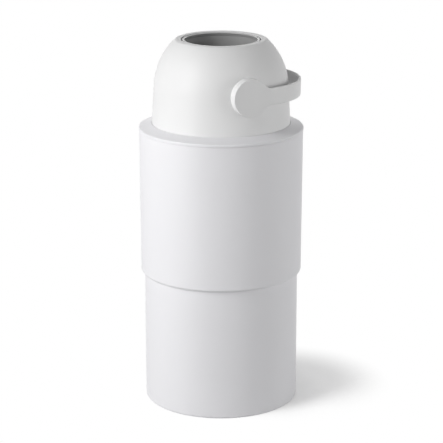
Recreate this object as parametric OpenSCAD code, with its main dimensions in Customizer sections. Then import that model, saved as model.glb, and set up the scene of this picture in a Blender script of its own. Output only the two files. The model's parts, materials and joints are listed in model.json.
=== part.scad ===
// Nappy bin with a flip-over ball head. Millimetres, +Z up.
// The origin is on the floor, at the middle of the base.
// The handle turns a hollow ball by half a turn. The weighted piston in the ball's
// bore then slides down and pushes the nappy through the throat into the bag below.

/* [Base bin] */
// Outer radius of the lower bin
base_r = 132.7; // [131:0.1:133]
// Height of the lower bin's rim, inside the sleeve
base_top = 262; // [250:1:290]
// Wall thickness of the large mouldings
wall = 2.8; // [2.4:0.1:3]
// Height of the soft feet under the base
foot_lift = 1; // [0.6:0.1:1.4]

/* [Upper sleeve] */
// Height of the sleeve's lower edge above the floor
sleeve_z = 230.5; // [222:0.5:232]
// Outer radius of the sleeve just above its lower edge
sleeve_low_r = 138.9; // [138.6:0.1:139.4]
// Outer radius of the sleeve at its top rim
sleeve_top_r = 140.3; // [139.8:0.1:140.4]
// Height of the seam between the sleeve and the head
seam_z = 481; // [480.5:0.1:481.5]

/* [Head] */
// Outer radius of the head's collar
collar_r = 141; // [140.5:0.5:143]
// Radius of the dome, level with its centre and above
dome_r = 114.9; // [114.7:0.1:115.1]
// Height of the dome's centre
dome_cz = 552; // [551.5:0.5:552.5]
// Radius of the dome's crest round the mouth
crest_r = 77.5; // [76.5:0.5:78]
// Radius of the round mouth
mouth_r = 68.2; // [68:0.1:68.4]

/* [Ball] */
// Height of the pivot axis
pivot_z = 557.7; // [557.5:0.1:557.9]
// Outer radius of the ball
ball_r = 102.6; // [102.4:0.1:102.7]
// Wall thickness of the ball's two halves
ball_wall = 3; // [2.5:0.25:3.5]
// Inner radius of the barrel that the nappy lies in
bore_r = 64.4; // [64:0.1:64.8]
// Inner radius of the rings that keep the piston in the barrel
ring_in_r = 62; // [61.5:0.1:62.5]

/* [Piston] */
// Height of the piston
piston_h = 40; // [38:1:46]
// Radius of the steel weight inside the piston
weight_r = 46; // [38:1:50]
// Thickness of the steel weight
weight_h = 12; // [8:1:12]

/* [Handle] */
// Radius of the round hub at each end of the handle
hub_r = 32; // [31:0.5:34]
// Distance from the bin's axis to the hub's flat face
hub_face_y = 124.5; // [124:0.5:126]
// Distance from the pivot axis to where the band starts to bend round the dome
arm_straight = 12.4; // [8:0.1:14]
// Height of the band where it leaves the hub
band_h_near = 28.8; // [26:0.1:34]
// Height of the band in the middle of its bend
band_h_far = 28.2; // [24:0.1:32]
// Thickness of the band
band_t = 4; // [3:0.25:4.5]
// Angle by which the handle hangs below the level at rest
droop = 1.4; // [0:0.1:8]

/* [Axle] */
// Radius of the axle where it turns in its bush
axle_r = 11; // [10.8:0.1:11.5]
// Radial running clearance of the axle in its bush
run_gap = 0.06; // [0.03:0.01:0.1]

/* [Hidden] */
$fn = 96;

// Colours
shell_white = [0.93, 0.93, 0.93];
inner_grey = [0.55, 0.56, 0.58];
clamp_grey = [0.36, 0.37, 0.39];
rubber = [0.16, 0.16, 0.17];
steel = [0.72, 0.73, 0.75];

// Clearances: of pressed pieces, of a seam that shows, and of a sealing edge
press_gap = 0.1;
seam_gap = 0.3;
seal_gap = 0.35;
over = 1;

// Shared levels and radii: the cradle's plate, and the dome below its waist
plate_top = pivot_z - 83.3;
dome_low_r = dome_r + 3.4;

// Base bin
base_floor = 3.2;
base_corner = 4;
base_floor_z = foot_lift + base_floor;
dish_r = 84;
dish_rise = 0.8;
foot_ring_r = 108;
foot_r = 9;
foot_pocket = 1.6;
foot_count = 4;
lug_count = 6;
rib_count = 12;
rib_in_r = 60;

// Upper sleeve
lip_in_r = base_r + 0.4;
sleeve_edge = 5;
low_in_r = sleeve_low_r - wall;
top_in_r = sleeve_top_r - wall;
stack_ledge_r = base_r - wall + 0.5;
bag_ledge_z = plate_top - 14.5;
bag_ledge_r = 128;
ledge_h = 3;
gusset_count = 16;

// Bag ring and its clamp
bag_flange_h = 3;
bag_flange_r = top_in_r - 1.6;
bag_ring_r = 116;
bag_ring_h = 34;
bag_wall = 2.4;
bag_top_z = bag_ledge_z + bag_flange_h;
slot_in_r = 120.5;
slot_out_r = 127;
slot_half = 11;
clamp_t = 2.2;
clamp_h = 20;

// Collar
flange_z = seam_z + seam_gap;
collar_in_r = dome_low_r + 0.3;
collar_edge = 2.6;
collar_rise = 12;
collar_wall = 3;
gasket_h = 2.8;
skirt_r = top_in_r - 0.6;
skirt_t = 2.7;
skirt_z = bag_top_z + seam_gap + gasket_h;
rib_ring_r = 124.5;
collar_rib_count = 24;

// Dome
dome_foot_h = 3;
dome_foot_r = 122;
waist_z = 493;
dome_wall = 3;
crest_z = dome_cz + sqrt(pow(dome_r, 2) - pow(crest_r, 2));
lip_drop = 0.4;
lip_edge = 1;
lip_root_r = crest_r + 1;
pad_r = 32;
pad_y = dome_r + 1.8;
pad_back_y = 107.4;
seal_rib_r = 80;
seal_rib_t = 1.8;

// Cradle under the ball
plate_h = 3;
plate_r = 131;
throat_r = 66.5;
throat_t = 2.4;
throat_z = plate_top - 32.5;
cup_r = ball_r + 1.4;
cup_t = 3;
cup_top = pivot_z - 51;
cup_gusset_count = 12;
screw_ring_r = 127.6;
screw_count = 6;
screw_r = 1.5;

// Seals that wipe the ball
seal_in_r = ball_r + seal_gap;
low_seal_z = pivot_z - 69;
low_seal_h = 6;
low_seal_t = 2.2;
up_seal_z = pivot_z + 68.3;
up_seal_h = 5.1;

// Ball, barrel and rings
rim_r = 67;
rim_h = sqrt(pow(ball_r, 2) - pow(rim_r, 2));
ring_h = 6;
ring_lead = 1.2;
barrel_half = rim_h - ring_h;
neck_t = 2.4;
neck_h = 16;
hub_in_y = 85.6;
ball_hub_r = 19;
boss_x = 91.5;
boss_z = 28;
boss_r = 4.6;
boss_len = 18;
ball_screw_r = 1.9;
ball_head_r = 3.8;
ball_rib_angles = [25, 50, 75, 105, 130, 155];

// Axle and bush
bush_r = 17;
bush_in_y = 105.1;
bush_flange_r = 21;
stop_depth = 8.8;
stop_r = 14.5;
stop_w = 5;
drive_w = 15;
axle_in_y = 82.1;
axle_flange_r = 15.5;
socket_end_y = hub_face_y - 3;
axle_screw_r = 2.4;
axle_head_h = 3.6;

// Handle
hub_back_y = pad_y + seam_gap;
hub_rim_t = 3;
hub_boss_r = 14;
band_rise = 0.6;
band_far_x = arm_straight + hub_face_y + over;
band_out_r = hub_face_y - 0.2;
blend_r = 14;
blend_dip = 0.2;

// Piston
piston_r = bore_r - 0.4;
piston_z = pivot_z - barrel_half + 0.05;
piston_wall = 2.4;
cap_r = piston_r - piston_wall - press_gap;
cap_h = 3;
cap_hub_r = 22;
web_z = 12.4;
web_h = 1.6;
wiper_h = 3;
wiper_depth = 1.5;
wiper_places = [5, piston_h - 8];

// A tube about Z from height z0 to height z1
module tube(r_out, r_in, z0, z1) {
    translate([0, 0, z0]) difference() {
        cylinder(r = r_out, h = z1 - z0);
        translate([0, 0, -over]) cylinder(r = r_in, h = z1 - z0 + 2 * over);
    }
}

// A rod about Z from height z0 to height z1
module rod(r, z0, z1) {
    translate([0, 0, z0]) cylinder(r = r, h = z1 - z0);
}

// Rectangle in a revolved outline, from corner to corner
module box2(x0, z0, x1, z1) {
    translate([x0, z0]) square([x1 - x0, z1 - z0]);
}

// Circle in a revolved outline
module disc2(r, z) {
    translate([0, z]) circle(r = r);
}

// Copies of the children, evenly spaced round Z
module round_copies(count, first = 0) {
    for (i = [0 : count - 1]) rotate([0, 0, first + i * 360 / count]) children();
}

// A flat plate that stands on a radius: its outline is drawn as radius and height
module radial_plate(thickness) {
    translate([0, thickness / 2, 0]) rotate([90, 0, 0]) linear_extrude(thickness) children();
}

// Puts a shape drawn along +Z on the pivot axis, pointing out of the front
module on_front_pivot() {
    translate([0, 0, pivot_z]) rotate([90, 0, 0]) children();
}

// Puts a shape drawn along +Z on the pivot axis, pointing out of the back
module on_back_pivot() {
    mirror([0, 1, 0]) on_front_pivot() children();
}

// Lower bin: a straight moulded bucket with a dished floor, ribs and snap lugs
module base_bin() {
    color(shell_white) {
        difference() {
            rotate_extrude() base_outline();
            round_copies(foot_count, 45) translate([foot_ring_r, 0, 0])
                rod(foot_r + press_gap, 0, foot_lift + foot_pocket);
        }
        round_copies(lug_count, 15) snap_lug();
        round_copies(rib_count) radial_plate(2)
            box2(rib_in_r, base_floor_z - 0.4, base_r - 1, base_floor_z + 3);
    }
}

module base_outline() {
    difference() {
        union() {
            translate([base_r - base_corner, foot_lift + base_corner]) circle(r = base_corner);
            box2(0, foot_lift, base_r - base_corner, base_floor_z);
            box2(base_r - wall, foot_lift + base_corner, base_r, base_top);
        }
        box2(0, base_floor_z, base_r - wall, base_top);
        polygon([[0, 0], [dish_r, 0], [dish_r, foot_lift], [dish_r - 3, foot_lift + dish_rise],
                 [0, foot_lift + dish_rise]]);
    }
}

// Snap lug that holds the sleeve down, above its turned-in lip
module snap_lug() {
    lug_z = sleeve_z + sleeve_edge + seam_gap;
    rotate([0, 0, -4]) rotate_extrude(angle = 8)
        polygon([[base_r - 1, lug_z], [base_r + 1.9, lug_z],
                 [base_r + 1.9, lug_z + 1.5], [base_r - 1, lug_z + 7]]);
}

// Soft feet in the pockets of the base
module anti_slip_feet() {
    color(rubber) round_copies(foot_count, 45) translate([foot_ring_r, 0, 0])
        rod(foot_r, 0, foot_lift + foot_pocket);
}

// Upper sleeve: slips over the lower bin, rests on its rim, carries bag ring and head
module upper_sleeve() {
    color(shell_white) {
        rotate_extrude() sleeve_outline();
        round_copies(gusset_count, 11.25) radial_plate(2) gusset_outline();
    }
}

module sleeve_outline() {
    edge_x = sleeve_low_r - sleeve_edge;
    box2(lip_in_r, sleeve_z, edge_x, sleeve_z + sleeve_edge - 1);
    intersection() {
        translate([edge_x, sleeve_z + sleeve_edge]) circle(r = sleeve_edge);
        box2(edge_x, sleeve_z - over, sleeve_low_r + over, sleeve_z + sleeve_edge);
    }
    polygon([[low_in_r, sleeve_z + sleeve_edge], [sleeve_low_r, sleeve_z + sleeve_edge],
             [sleeve_top_r, seam_z], [top_in_r, seam_z]]);
    box2(stack_ledge_r, base_top, low_in_r + 1, base_top + ledge_h);
    box2(bag_ledge_r, bag_ledge_z - ledge_h, top_in_r + 1, bag_ledge_z);
}

// Gusset under the ledge that the bag ring rests on
module gusset_outline() {
    polygon([[bag_ledge_r + 1, bag_ledge_z - ledge_h + 0.4], [top_in_r + 0.6, bag_ledge_z - ledge_h + 0.4],
             [top_in_r + 0.6, bag_ledge_z - 22], [top_in_r - 1.4, bag_ledge_z - 22]]);
}

// Bag ring: the bag hangs through it and its edge is folded over the flange
module bag_ring() {
    color(inner_grey) difference() {
        rotate_extrude() {
            box2(bag_ring_r, bag_ledge_z, bag_flange_r, bag_top_z);
            box2(bag_ring_r, bag_ledge_z - bag_ring_h, bag_ring_r + bag_wall, bag_top_z);
            box2(bag_ring_r, bag_ledge_z - bag_ring_h, bag_ring_r + bag_wall + 1.4,
                 bag_ledge_z - bag_ring_h + 3);
        }
        for (middle = [0, 180]) rotate([0, 0, middle - slot_half]) finger_slot();
    }
}

// Curved finger slot through the bag ring's flange
module finger_slot() {
    translate([0, 0, bag_ledge_z - over]) rotate_extrude(angle = 2 * slot_half)
        box2(slot_in_r, 0, slot_out_r, bag_flange_h + 2 * over);
}

// Clamp ring: a hoop inside the bag ring that traps the bag against its wall
module bag_clamp_ring() {
    color(clamp_grey) rotate_extrude() {
        box2(bag_ring_r - 0.3 - clamp_t, bag_top_z - clamp_h, bag_ring_r - 0.3, bag_top_z + 1.6);
        box2(bag_ring_r - 0.3 - clamp_t, bag_top_z, bag_ring_r + 2.4, bag_top_z + 1.6);
    }
}

// Height of the collar's sloping top face at a radius
function collar_top(r) = flange_z + 2 * collar_edge
    + (collar_r - collar_edge - r) * (collar_rise - 2 * collar_edge)
    / (collar_r - collar_edge - collar_in_r);

// Collar: the proud flange of the head, with a skirt that plugs into the sleeve
module head_collar() {
    color(shell_white) {
        difference() {
            union() {
                rotate_extrude() collar_outline();
                round_copies(screw_count, 30) translate([screw_ring_r, 0, 0])
                    rod(4, plate_top, collar_top(screw_ring_r) - 1.5);
            }
            round_copies(screw_count, 30) translate([screw_ring_r, 0, 0])
                rod(screw_r, plate_top - over, plate_top + 4.6);
        }
        round_copies(collar_rib_count, 7.5) radial_plate(1.6) collar_rib_outline();
    }
}

module collar_outline() {
    skirt_in_r = skirt_r - skirt_t;
    translate([collar_r - collar_edge, flange_z + collar_edge]) circle(r = collar_edge);
    polygon([
        [collar_in_r, collar_top(collar_in_r)],
        [collar_in_r, plate_top + dome_foot_h],
        [dome_foot_r + 0.4, plate_top + dome_foot_h],
        [dome_foot_r + 0.4, plate_top],
        [rib_ring_r, plate_top],
        [rib_ring_r, collar_top(rib_ring_r) - collar_wall],
        [skirt_in_r, collar_top(skirt_in_r) - collar_wall],
        [skirt_in_r, skirt_z],
        [skirt_r, skirt_z],
        [skirt_r, flange_z],
        [collar_r, flange_z],
        [collar_r, flange_z + collar_edge],
        [collar_r - collar_edge, flange_z + 2 * collar_edge]
    ]);
}

module collar_rib_outline() {
    skirt_in_r = skirt_r - skirt_t + 0.4;
    polygon([[rib_ring_r - 0.4, plate_top + 1], [skirt_in_r, plate_top + 1],
             [skirt_in_r, collar_top(skirt_in_r) - collar_wall + 0.6],
             [rib_ring_r - 0.4, collar_top(rib_ring_r) - collar_wall + 0.6]]);
}

// Soft gasket under the collar's skirt, just above the bag ring's flange
module head_gasket() {
    color(rubber) tube(skirt_r, skirt_r - skirt_t, skirt_z - gasket_h, skirt_z);
}

// Dome: the bullet-shaped cover of the ball, with the mouth and the two pivot pads
module dome_shell() {
    color(shell_white) difference() {
        union() {
            rotate_extrude() dome_outline();
            on_front_pivot() rod(pad_r, pad_back_y, pad_y);
            on_back_pivot() rod(pad_r, pad_back_y, pad_y);
        }
        on_front_pivot() pad_cut();
        on_back_pivot() pad_cut();
    }
}

module dome_outline() {
    difference() {
        union() {
            intersection() {
                disc2(dome_r, dome_cz);
                box2(0, dome_cz, dome_r, crest_z);
            }
            polygon([[0, plate_top], [dome_low_r, plate_top], [dome_low_r, waist_z], [dome_r, dome_cz],
                     [0, dome_cz]]);
            box2(dome_low_r - dome_wall, plate_top, dome_foot_r, plate_top + dome_foot_h);
        }
        intersection() {
            disc2(dome_r - dome_wall, dome_cz);
            lip_clip();
        }
        polygon([[0, plate_top - over], [dome_low_r - dome_wall, plate_top - over],
                 [dome_low_r - dome_wall, waist_z], [dome_r - dome_wall, dome_cz], [0, dome_cz]]);
        polygon([[0, crest_z - lip_drop - 2 * lip_edge], [mouth_r, crest_z - lip_drop - 2 * lip_edge],
                 [mouth_r, crest_z - lip_drop], [crest_r, crest_z], [crest_r, crest_z + over],
                 [0, crest_z + over]]);
    }
    intersection() {
        box2(seal_rib_r, up_seal_z - over, seal_rib_r + seal_rib_t, crest_z);
        disc2(dome_r - dome_wall / 2, dome_cz);
    }
}

// Space under the dome's crest: it ends at the sloping underside of the mouth's lip
module lip_clip() {
    root_z = dome_cz + sqrt(pow(dome_r - dome_wall, 2) - pow(lip_root_r, 2));
    polygon([[0, dome_cz], [dome_r, dome_cz], [dome_r, root_z], [lip_root_r, root_z],
             [mouth_r, crest_z - lip_drop - lip_edge], [0, crest_z - lip_drop - lip_edge]]);
}

// Bore for the bush, and the ring-shaped pocket behind the pad's face
module pad_cut() {
    rod(bush_r + press_gap, pad_back_y - over, pad_y + over);
    tube(pad_r - dome_wall, bush_r + dome_wall, pad_back_y - over, pad_y - dome_wall);
}

// Cradle: holds the head together, cups the ball and guides the nappy down the throat
module ball_cradle() {
    color(inner_grey) difference() {
        union() {
            rotate_extrude() cradle_outline();
            round_copies(cup_gusset_count) radial_plate(2) cup_gusset_outline();
        }
        round_copies(screw_count, 30) translate([screw_ring_r, 0, 0])
            rod(screw_r + 0.4, plate_top - plate_h - over, plate_top + over);
    }
}

module cradle_outline() {
    box2(throat_r, plate_top - plate_h, plate_r, plate_top);
    box2(throat_r, throat_z, throat_r + throat_t, plate_top);
    difference() {
        intersection() {
            disc2(cup_r + cup_t, pivot_z);
            box2(throat_r, plate_top, ball_r, cup_top);
        }
        disc2(cup_r, pivot_z);
        intersection() {
            disc2(seal_in_r + low_seal_t + press_gap, pivot_z);
            box2(0, low_seal_z - press_gap, ball_r, low_seal_z + low_seal_h + press_gap);
        }
    }
}

module cup_gusset_outline() {
    top_r = sqrt(pow(cup_r + cup_t / 2, 2) - pow(pivot_z - cup_top + 3, 2));
    polygon([[throat_r + 4.1, plate_top - over], [throat_r + 36, plate_top - over],
             [throat_r + 36, plate_top + 2], [top_r + 1.4, cup_top - 3], [top_r + 0.2, cup_top - 3]]);
}

// Soft ring in the cradle's groove, wiping the lower half of the ball
module lower_ball_seal() {
    color(rubber) rotate_extrude() difference() {
        intersection() {
            disc2(seal_in_r + low_seal_t, pivot_z);
            box2(0, low_seal_z, ball_r, low_seal_z + low_seal_h);
        }
        disc2(seal_in_r, pivot_z);
    }
}

// Soft ring under the mouth's lip, wiping the upper half of the ball
module upper_ball_seal() {
    color(rubber) rotate_extrude() difference() {
        intersection() {
            disc2(dome_r - dome_wall - 0.05, dome_cz);
            box2(0, up_seal_z, seal_rib_r - press_gap, up_seal_z + up_seal_h);
        }
        disc2(seal_in_r, pivot_z);
    }
}

// Bush pressed into a pivot pad. Its groove lets the axle's tooth swing half a turn
module pivot_bush() {
    color(inner_grey) difference() {
        union() {
            rod(bush_r, bush_in_y, pad_y);
            rod(bush_flange_r, bush_in_y, pad_back_y);
        }
        rod(axle_r + run_gap, bush_in_y - over, pad_y + over);
        intersection() {
            rod(stop_r + 0.5, bush_in_y - over, bush_in_y + stop_depth);
            translate([-bush_r, -stop_w / 2 - seam_gap, 0])
                cube([2 * bush_r, 2 * bush_r, pad_y]);
        }
    }
}

module pivot_bush_front() { on_front_pivot() pivot_bush(); }
module pivot_bush_back() { on_back_pivot() pivot_bush(); }

// Screws up through the cradle's plate into the collar's bosses
module head_screws() {
    color(steel) round_copies(screw_count, 30) translate([screw_ring_r, 0, 0]) {
        rod(screw_r - 0.05, plate_top - plate_h - 1, plate_top + 4.4);
        difference() {
            rod(3.4, plate_top - plate_h - 2.6, plate_top - plate_h);
            rod(1.2, plate_top - plate_h - 2.6 - over, plate_top - plate_h - 1.2, $fn = 6);
        }
    }
}

// Half of the ball: a spherical shell with a neck for the barrel, a hub for the axle and ribs
module ball_half(heads) {
    color(inner_grey) translate([0, 0, pivot_z]) difference() {
        union() {
            intersection() {
                difference() {
                    sphere(r = ball_r);
                    sphere(r = ball_r - ball_wall);
                }
                front_space();
            }
            for (end = [-1, 1]) intersection() {
                rod(rim_r + neck_t, end * (rim_h - neck_h / 2) - neck_h / 2,
                    end * (rim_h - neck_h / 2) + neck_h / 2);
                sphere(r = ball_r - ball_wall / 2);
                front_space();
            }
            intersection() {
                union() {
                    rotate([90, 0, 0]) rod(ball_hub_r, hub_in_y, ball_r);
                    for (side = [-1, 1], level = [-1, 1]) translate([side * boss_x, 0, level * boss_z])
                        rotate([90, 0, 0]) rod(boss_r, 0, heads ? boss_len + 26 : boss_len);
                    for (angle = ball_rib_angles) rotate([0, 0, -angle]) radial_plate(2)
                        box2(rim_r, -32, ball_r, 32);
                }
                sphere(r = ball_r - ball_wall / 2);
            }
        }
        rod(rim_r + press_gap, -ball_r, ball_r);
        rotate([90, 0, 0]) translate([0, 0, hub_in_y - over]) drive_square(0.08, ball_r);
        for (side = [-1, 1], level = [-1, 1]) translate([side * boss_x, 0, level * boss_z])
            rotate([90, 0, 0]) ball_screw_hole(heads);
    }
}

// The half space in front of the ball's parting plane
module front_space() {
    translate([-ball_r, -ball_r, -ball_r]) cube([2 * ball_r, ball_r, 2 * ball_r]);
}

module ball_screw_hole(heads) {
    rod(heads ? ball_screw_r + 0.2 : ball_screw_r, -over, heads ? boss_len : boss_len - 3);
    if (heads) rod(ball_head_r + 0.3, boss_len - 3, ball_r);
}

// Square bar of the axle's drive, from 0 up to a length
module drive_square(clearance, length) {
    width = drive_w + 2 * clearance;
    translate([-width / 2, -width / 2, 0]) cube([width, width, length]);
}

module ball_half_front() { ball_half(true); }
module ball_half_back() { mirror([0, 1, 0]) ball_half(false); }

// Long screws that draw the two halves of the ball together
module ball_screws() {
    color(steel) for (side = [-1, 1], level = [-1, 1])
        translate([side * boss_x, 0, pivot_z + level * boss_z]) rotate([90, 0, 0]) {
            rod(ball_screw_r - 0.05, 3.4 - boss_len, boss_len - 2);
            difference() {
                rod(ball_head_r, boss_len - 3, boss_len);
                rod(1.4, boss_len - 1.6, boss_len + over, $fn = 6);
            }
        }
}

// Barrel: the smooth tube through the ball that the nappy is dropped into
module barrel_tube() {
    color(inner_grey) tube(rim_r, bore_r, pivot_z - barrel_half, pivot_z + barrel_half);
}

// End ring of the barrel: it keeps the piston in and closes the joint to the ball
module barrel_ring() {
    color(inner_grey) rotate_extrude()
        polygon([[rim_r, 0], [rim_r, ring_h], [ring_in_r + ring_lead, ring_h],
                 [ring_in_r, ring_h - ring_lead], [ring_in_r, 0]]);
}

module barrel_ring_upper() {
    translate([0, 0, pivot_z + barrel_half]) barrel_ring();
}

module barrel_ring_lower() {
    translate([0, 0, pivot_z - barrel_half]) mirror([0, 0, 1]) barrel_ring();
}

// Piston body: a short drum with a floor for the weight and two grooves for the wipers
module piston_body() {
    color(clamp_grey) translate([0, 0, piston_z]) {
        rotate_extrude() difference() {
            union() {
                box2(piston_r - piston_wall, 0, piston_r, piston_h);
                box2(0, web_z, piston_r, web_z + web_h);
                box2(weight_r + press_gap, web_z, weight_r + 2.5, web_z + web_h + weight_h);
            }
            for (place = wiper_places)
                box2(piston_r - wiper_depth, place, piston_r + over, place + wiper_h);
        }
        round_copies(6) radial_plate(2) box2(weight_r + 1, cap_h, piston_r - 2, piston_h - cap_h);
    }
}

// Round end plate of the piston, dished on the side that touches the nappy
module piston_cap(hub_len) {
    color(clamp_grey) difference() {
        union() {
            rod(cap_r, 0, cap_h);
            tube(cap_hub_r, cap_hub_r - 2, 1, cap_h + hub_len);
        }
        rotate_extrude() polygon([[0, -over], [cap_r - 3, -over], [cap_r - 3, 0], [0, 1.4]]);
    }
}

module piston_cap_lower() {
    translate([0, 0, piston_z]) piston_cap(web_z - cap_h);
}

module piston_cap_upper() {
    translate([0, 0, piston_z + piston_h]) mirror([0, 0, 1])
        piston_cap(piston_h - cap_h - web_z - web_h - weight_h);
}

// Steel disc that makes the piston heavy enough to fall by itself
module piston_weight() {
    color(steel) translate([0, 0, piston_z]) difference() {
        rod(weight_r, web_z + web_h, web_z + web_h + weight_h);
        rod(6, web_z, piston_h);
    }
}

// Two soft wipers in the piston's grooves
module piston_wipers() {
    color(rubber) for (place = wiper_places)
        tube(piston_r + 0.3, piston_r - wiper_depth, piston_z + place, piston_z + place + wiper_h);
}

// Handle: one band round the dome with a round hub at each end
module handle() {
    color(shell_white) translate([0, 0, pivot_z]) rotate([0, droop, 0]) {
        intersection() {
            translate([0, 0, -hub_r - over]) linear_extrude(2 * hub_r + 2 * over) band_plan();
            rotate([90, 0, 0]) translate([0, 0, -hub_face_y - over])
                linear_extrude(2 * hub_face_y + 2 * over) band_side();
        }
        rotate([90, 0, 0]) handle_hub();
        mirror([0, 1, 0]) rotate([90, 0, 0]) handle_hub();
    }
}

// The band seen from above: a round bend, which the plates of the hubs carry on to the pivot
module band_plan() {
    intersection() {
        translate([arm_straight, 0]) difference() {
            circle(r = band_out_r);
            circle(r = band_out_r - band_t);
        }
        translate([arm_straight, -hub_face_y - over]) square([hub_face_y + over, 2 * (hub_face_y + over)]);
    }
}

// Distance along the band at which its edge meets the hub's blend, for an edge at a height.
// The blend dips just under the hub's rim, which it crosses instead of touching.
function blend_x(edge) = sqrt(pow(hub_r + blend_r - blend_dip, 2) - pow(edge + blend_r, 2));

// The band seen from the side: a tapering bar with concave blends to the hub
module band_side() {
    upper = band_h_near / 2 + band_rise;
    lower = band_h_near / 2 - band_rise;
    polygon([[0, -lower], [blend_x(lower), -lower], [band_far_x, band_rise - band_h_far / 2],
             [band_far_x, band_rise + band_h_far / 2], [blend_x(upper), upper], [0, upper]]);
    band_blend(upper);
    mirror([0, 1]) band_blend(lower);
}

// Concave blend between the hub and one edge of the band
module band_blend(edge) {
    difference() {
        polygon([[0, 0], [blend_x(edge), 0], [blend_x(edge), edge + blend_r]]);
        translate([blend_x(edge), edge + blend_r]) circle(r = blend_r);
    }
}

// Hub of the handle: a shallow drum with the square socket of the axle
module handle_hub() {
    difference() {
        rod(hub_r, hub_back_y, hub_face_y);
        tube(hub_r - hub_rim_t, hub_boss_r, hub_back_y - over, hub_face_y - band_t);
        translate([0, 0, hub_back_y - over]) rotate([0, 0, droop])
            drive_square(0.08, socket_end_y - hub_back_y + over);
        rod(axle_screw_r - 0.2, hub_back_y, hub_face_y - 1.8);
    }
}

// Stub axle: flange in the ball's hub, square drive, round journal with a stop tooth
module axle() {
    color(clamp_grey) difference() {
        union() {
            rod(axle_flange_r, axle_in_y, hub_in_y);
            translate([0, 0, axle_in_y]) drive_square(0, socket_end_y - axle_in_y);
            rod(axle_r, ball_r + 0.5, pad_y);
            translate([axle_r - 2, -stop_w / 2, bush_in_y])
                cube([stop_r - axle_r + 2, stop_w, stop_depth - seam_gap]);
        }
        rod(axle_screw_r + 0.2, axle_in_y - over, hub_face_y);
    }
}

module axle_front() { on_front_pivot() axle(); }
module axle_back() { on_back_pivot() axle(); }

// One screw along each axle, from inside the ball into the handle's hub
module axle_screw() {
    difference() {
        union() {
            rod(axle_screw_r - 0.35, axle_in_y - 1, hub_face_y - 2.4);
            rod(4.6, axle_in_y - axle_head_h, axle_in_y);
        }
        rod(2, axle_in_y - axle_head_h - over, axle_in_y - 1.6, $fn = 6);
    }
}

module axle_screws() {
    color(steel) {
        on_front_pivot() axle_screw();
        on_back_pivot() axle_screw();
    }
}

base_bin();
anti_slip_feet();
upper_sleeve();
bag_ring();
bag_clamp_ring();
head_collar();
head_gasket();
dome_shell();
ball_cradle();
upper_ball_seal();
lower_ball_seal();
pivot_bush_front();
pivot_bush_back();
head_screws();
ball_half_front();
ball_half_back();
ball_screws();
barrel_tube();
barrel_ring_upper();
barrel_ring_lower();
piston_body();
piston_cap_upper();
piston_cap_lower();
piston_weight();
piston_wipers();
handle();
axle_front();
axle_back();
axle_screws();
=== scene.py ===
"""The dressed nappy bin: moulded shells, band handle, flip ball, finishes, light and camera.

All lengths are in metres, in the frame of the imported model: +Z is up, the origin is on the floor at
the middle of the base, the handle's front hub looks along -Y, and the handle lies to +X at rest.
"""

import json
import logging
import math
from dataclasses import dataclass, field
from enum import Enum
from typing import Callable, Iterable, Sequence

import bmesh
import bpy
from mathutils import Matrix, Vector


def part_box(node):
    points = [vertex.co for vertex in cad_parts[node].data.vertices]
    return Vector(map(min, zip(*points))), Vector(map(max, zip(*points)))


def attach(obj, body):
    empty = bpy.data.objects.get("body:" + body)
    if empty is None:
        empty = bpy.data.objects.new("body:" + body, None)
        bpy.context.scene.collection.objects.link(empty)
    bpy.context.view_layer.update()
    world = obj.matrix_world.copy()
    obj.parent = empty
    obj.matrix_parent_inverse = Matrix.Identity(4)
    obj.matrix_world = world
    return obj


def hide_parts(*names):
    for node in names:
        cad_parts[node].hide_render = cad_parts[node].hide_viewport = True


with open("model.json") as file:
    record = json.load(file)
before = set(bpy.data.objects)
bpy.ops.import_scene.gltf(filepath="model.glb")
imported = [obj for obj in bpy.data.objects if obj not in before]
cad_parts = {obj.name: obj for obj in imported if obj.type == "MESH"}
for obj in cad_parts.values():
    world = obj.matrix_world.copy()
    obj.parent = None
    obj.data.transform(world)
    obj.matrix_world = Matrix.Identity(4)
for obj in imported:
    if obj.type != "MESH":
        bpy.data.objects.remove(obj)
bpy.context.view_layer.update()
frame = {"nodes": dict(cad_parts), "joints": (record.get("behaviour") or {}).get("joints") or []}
PIVOT_Z = next(joint for joint in frame["joints"] if joint["name"] == "handle_flip")["pos_m"][2]

LOG = logging.getLogger("nappy_bin")
MM = 0.001

# Distance within which two places count as the same one.
MERGE = 1e-6

# Distance from a plane or an axis within which a vertex lies on it.
ON_PLANE = 1e-7

# Largest share of an outline's side that the rounding of one of its corners takes.
ROUNDING_SHARE = 0.49

# Depth by which a rib or a boss is sunk into the wall that carries it.
BITE = 0.4 * MM

# Angle from which a piece's edge stays sharp, in degrees.
CREASE = 38.0

# Stretches of a pattern along X, Y and Z.
EVEN = (1.0, 1.0, 1.0)
UPRIGHT_STREAKS = (1.0, 1.0, 0.12)
UPRIGHT_RUBS = (1.0, 1.0, 0.05)
TURNED_RINGS = (1.0, 0.15, 1.0)

WHITE = (1.0, 1.0, 1.0)


class Body(Enum):
    """The rigid bodies that pieces ride on."""

    BIN = "bin"
    BAG_CARRIER = "bag_carrier"
    HEAD = "head"
    BALL = "ball"
    PISTON = "piston"


class Slot(Enum):
    """The record's material slots."""

    WHITE = "white_shell"
    GREY = "grey_inner"
    DARK = "dark_inner"
    RUBBER = "rubber"
    STEEL = "steel"


class Side(Enum):
    """The two ends of the pivot axis, as the sign of Y."""

    FRONT = -1
    BACK = 1


# Shader values and nodes


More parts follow.
